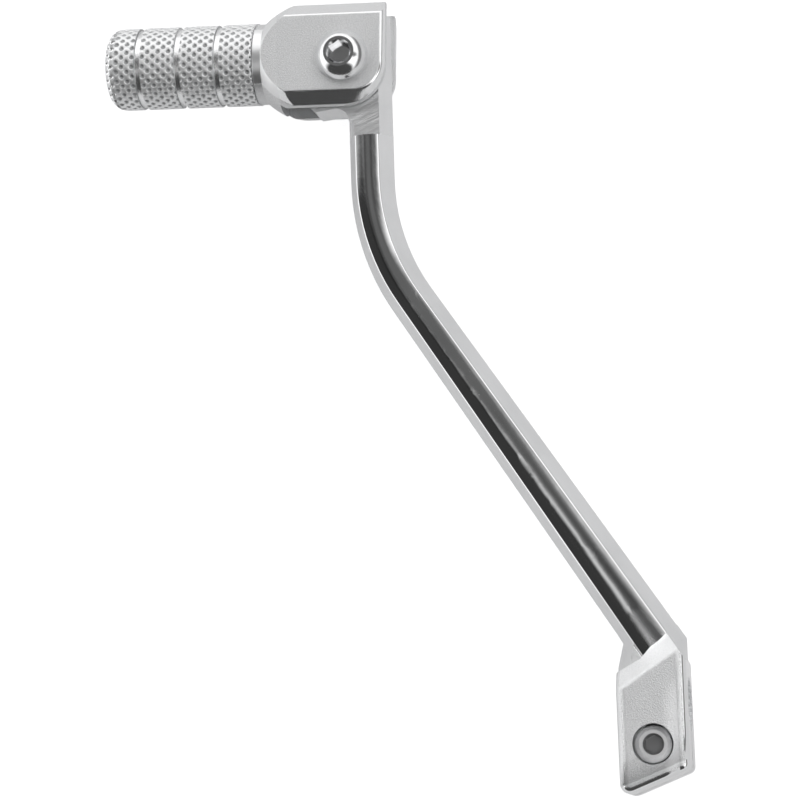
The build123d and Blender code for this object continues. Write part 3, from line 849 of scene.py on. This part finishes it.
@dataclass
class TipHead:
    """Forked head of the folding tip, up to where the knurl starts."""

    axis: TipAxis
    cut: float = 22.28 * MM

    def build(self) -> bpy.types.Object:
        """Builds the head from the CAD node.

        Returns:
            The finished mesh object.
        """
        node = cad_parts["folding_tip"]
        head = bpy.data.objects.new("tip_head", node.data.copy())
        bpy.context.scene.collection.objects.link(head)
        Bench.take(head)
        Bench.edit("VERT")
        bpy.ops.mesh.select_all(action="SELECT")
        bpy.ops.mesh.remove_doubles(threshold=0.000002)
        bpy.ops.mesh.bisect(
            plane_co=self.axis.at(self.cut),
            plane_no=self.axis.out,
            clear_outer=True,
            clear_inner=False,
            use_fill=False,
        )
        bpy.ops.mesh.select_mode(type="EDGE")
        bpy.ops.mesh.select_all(action="DESELECT")
        for edge in Bench.mesh().edges:
            edge.select = len(edge.link_faces) == 1
        Bench.flush()
        bpy.ops.mesh.bridge_edge_loops()
        Bench.done()
        bpy.ops.mesh.customdata_custom_splitnormals_clear()
        bpy.ops.object.shade_smooth_by_angle(angle=math.radians(24.0))
        even = head.modifiers.new("even", "WEIGHTED_NORMAL")
        even.keep_sharp = True
        even.weight = 80
        bpy.ops.object.modifier_apply(modifier=even.name)
        return head


# ---------------------------------------------------------------- sub-assemblies


def dress(piece: bpy.types.Object, material: bpy.types.Material) -> None:
    """Gives a piece one material in all its slots.

    Args:
        piece: The mesh object.
        material: Its finish.
    """
    if not piece.data.materials:
        piece.data.materials.append(material)
    for number in range(len(piece.data.materials)):
        piece.data.materials[number] = material


@dataclass
class ShiftArm:
    """Forged arm with its bushes and pinch bolt."""

    forging: ForgedFinish = field(default_factory=ForgedFinish)
    bolt: MetalFinish = MetalFinish(
        "bright_pinch_bolt",
        (0.95, 0.95, 0.955),
        (0.85, 0.85, 0.855),
        0.42,
        # socket and socket_reach place the painted shade in the hex socket
        socket=(-9.5 * MM, 0.0, 0.0),
        socket_reach=2.35 * MM,
    )
    washer: MetalFinish = MetalFinish("zinc_pinch_washer", (0.8, 0.81, 0.82), (0.6, 0.61, 0.62), 0.3)
    bush: MetalFinish = MetalFinish("turned_bronze", (0.72, 0.5, 0.26), (0.5, 0.33, 0.16), 0.3)

    def dress(self) -> None:
        """Gives the arm's CAD nodes their finishes."""
        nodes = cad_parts
        dress(nodes["lever_arm"], self.forging.material())
        dress(nodes["pinch_bolt"], self.bolt.material())
        dress(nodes["pinch_washer"], self.washer.material())
        dress(nodes["pivot_bushes"], self.bush.material())
        log.info("arm dressed: lever_arm, pinch_bolt, pinch_washer, pivot_bushes")


@dataclass
class FoldingTip:
    """Folding tip: head, knurled sleeve and the pivot's fasteners."""

    axis: TipAxis = field(default_factory=TipAxis)
    head: HeadFinish = field(default_factory=HeadFinish)
    knurl: KnurlFinish = field(default_factory=KnurlFinish)
    bolt: MetalFinish = MetalFinish("bright_pivot_bolt", (0.88, 0.885, 0.89), (0.78, 0.78, 0.79), 0.12, 0.05)
    zinc: MetalFinish = MetalFinish("zinc_plate", (0.8, 0.81, 0.82), (0.62, 0.63, 0.64), 0.28)
    spring: MetalFinish = MetalFinish("oiled_spring", (0.4, 0.41, 0.43), (0.25, 0.25, 0.26), 0.3)

    def build(self) -> None:
        """Builds the head and the sleeve, and dresses the tip's CAD nodes."""
        head = TipHead(self.axis).build()
        sleeve = KnurledSleeve(self.axis).build()
        dress(head, self.head.material())
        dress(sleeve, self.knurl.material())
        for piece in (head, sleeve):
            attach(piece, Body.TIP.value)
            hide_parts("folding_tip")
            log.info("%s: %d faces", piece.name, len(piece.data.polygons))
        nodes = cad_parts
        dress(nodes["pivot_bolt"], self.bolt.material())
        zinc = self.zinc.material()
        for name in ("nut_washer", "lock_nut", "detent_plunger"):
            dress(nodes[name], zinc)
        dress(nodes["return_spring"], self.spring.material())
        dress(nodes["nylon_ring"], NylonFinish().material())
        log.info("tip dressed: pivot bolt, washer, nut, ring, plunger, spring")


# ---------------------------------------------------------------- stage


@dataclass
class Studio:
    """Floor, light and camera."""

    floor_size: float = 3.0
    white: Colour = (0.74, 0.74, 0.745)
    lift: float = 0.55
    glow: float = 0.17
    level: float = 1.25
    seat: Point = (-44.3 * MM, -61.9 * MM, 701.7 * MM)
    right: Point = (-0.03097, -0.98434, -0.17355)
    up: Point = (0.98561, -0.05894, 0.1584)
    back: Point = (-0.16615, -0.16615, 0.972)
    lens: float = 135.0

    def floor(self) -> None:
        """Lays the floor just under the object."""
        Bench.clear()
        low = min(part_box(name)[0][2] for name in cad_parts)
        bpy.ops.mesh.primitive_plane_add(size=self.floor_size, location=(0.08, 0.05, low - 0.0002))
        plane = bpy.context.object
        Bench.settle(plane)
        plane.name = "floor"
        graph = Graph("pale_floor")
        cloud = graph.noise(graph.place(), 6.0, 3.0)
        tone = graph.blend(cloud, self.white, tuple(part * 0.985 for part in self.white))
        graph.finish(tone, graph.fade(cloud, 0.0, 1.0, 0.85, 0.95), graph.bump(cloud, 0.0001), 0.0)
        graph.shader.inputs["Specular IOR Level"].default_value = 0.0
        path = graph.tree.nodes.new("ShaderNodeLightPath")
        graph.shader.inputs["Emission Color"].default_value = (1.0, 1.0, 1.0, 1.0)
        lift = graph.math("ADD", graph.math("MULTIPLY", path.outputs["Is Camera Ray"], self.lift), self.glow)
        graph.tree.links.new(lift, graph.shader.inputs["Emission Strength"])
        dress(plane, graph.material)

    def sky(self) -> None:
        """Lights the scene from all round, with the dark openings of a light tent."""
        world = bpy.data.worlds.new("light_tent")
        bpy.context.scene.world = world
        world.use_nodes = True
        tree = world.node_tree
        back = tree.nodes["Background"]
        ray = tree.nodes.new("ShaderNodeTexCoord").outputs["Generated"]
        light = self._value(tree, "ADD", self.level, 0.0)
        patches = (
            # direction, long axis, half widths along it and across it, softness, strength
            ((-0.09, 0.53, 0.84), (-0.54, 0.84, 0.0), 0.42, 0.4, 0.2, 0.97),
            ((0.38, 0.016, 0.93), (0.54, -0.84, 0.0), 0.4, 0.2, 0.12, 0.9),
            ((0.16, -0.14, 0.975), (0.54, -0.84, 0.0), 0.3, 0.12, 0.08, 0.9),
            ((-0.89, 0.16, 0.42), (0.0, 1.0, 0.0), 0.75, 0.6, 0.14, 0.95),
            ((0.0, -0.6, 0.8), (0.0, 0.8, 0.6), 0.45, 0.17, 0.1, 0.85),
            ((0.17, -0.97, 0.1), (1.0, 0.0, 0.0), 0.9, 0.2, 0.1, 0.85),
        )
        for towards, long_axis, half_long, half_wide, soft, strength in patches:
            aim = Vector(towards).normalized()
            first = (Vector(long_axis) - aim * Vector(long_axis).dot(aim)).normalized()
            second = aim.cross(first)
            one = self._value(tree, "DIVIDE", self._dot(tree, ray, first), half_long)
            two = self._value(tree, "DIVIDE", self._dot(tree, ray, second), half_wide)
            squares = self._value(tree, "MULTIPLY", one, one)
            others = self._value(tree, "MULTIPLY", two, two)
            reach = self._value(tree, "SQRT", self._value(tree, "ADD", squares, others), 0.0)
            mask = tree.nodes.new("ShaderNodeMapRange")
            mask.interpolation_type = "SMOOTHSTEP"
            tree.links.new(reach, mask.inputs["Value"])
            mask.inputs["From Min"].default_value = 1.0 - soft / half_wide / 2
            mask.inputs["From Max"].default_value = 1.0 + soft / half_wide / 2
            mask.inputs["To Min"].default_value = strength
            mask.inputs["To Max"].default_value = 0.0
            front = self._value(tree, "GREATER_THAN", self._dot(tree, ray, aim), 0.0)
            dim = self._value(tree, "MULTIPLY", mask.outputs["Result"], front)
            light = self._value(tree, "MULTIPLY", light, self._value(tree, "SUBTRACT", 1.0, dim))
        path = tree.nodes.new("ShaderNodeLightPath")
        seen = tree.nodes.new("ShaderNodeMix")
        seen.data_type = "FLOAT"
        tree.links.new(path.outputs["Is Camera Ray"], seen.inputs[0])
        tree.links.new(light, seen.inputs[2])
        seen.inputs[3].default_value = 0.97
        tree.links.new(seen.outputs[0], back.inputs["Strength"])
        back.inputs["Color"].default_value = (1.0, 1.0, 1.0, 1.0)

    @staticmethod
    def _value(tree: bpy.types.NodeTree, kind: str, first: Socket | float, second: Socket | float) -> Socket:
        """Adds a Math node and gives its result."""
        node = tree.nodes.new("ShaderNodeMath")
        node.operation = kind
        for number, value in enumerate((first, second)):
            if isinstance(value, bpy.types.NodeSocket):
                tree.links.new(value, node.inputs[number])
            else:
                node.inputs[number].default_value = value
        return node.outputs[0]

    @staticmethod
    def _dot(tree: bpy.types.NodeTree, vector: Socket, other: Vector) -> Socket:
        """Adds a dot product with a fixed vector and gives its result."""
        node = tree.nodes.new("ShaderNodeVectorMath")
        node.operation = "DOT_PRODUCT"
        tree.links.new(vector, node.inputs[0])
        node.inputs[1].default_value = other
        return node.outputs["Value"]

    def camera(self) -> None:
        """Sets the camera."""
        data = bpy.data.cameras.new("camera")
        data.lens = self.lens
        data.sensor_width = 36.0
        data.clip_start = 0.01
        data.clip_end = 20.0
        camera = bpy.data.objects.new("camera", data)
        bpy.context.scene.collection.objects.link(camera)
        turn = Matrix((self.right, self.up, self.back)).transposed().to_4x4()
        camera.matrix_world = Matrix.Translation(self.seat) @ turn
        bpy.context.scene.camera = camera

    def build(self) -> None:
        """Builds the floor, the light and the camera."""
        self.floor()
        self.sky()
        self.camera()
        bpy.context.scene.view_settings.view_transform = "Standard"
        log.info("stage set")


def main() -> None:
    """Builds the sub-assemblies in order, then the stage."""
    logging.basicConfig(level=logging.INFO, format="%(message)s")
    ShiftArm().dress()
    FoldingTip().build()
    Studio().build()
    Bench.clear()


if __name__ == "__main__":
    main()
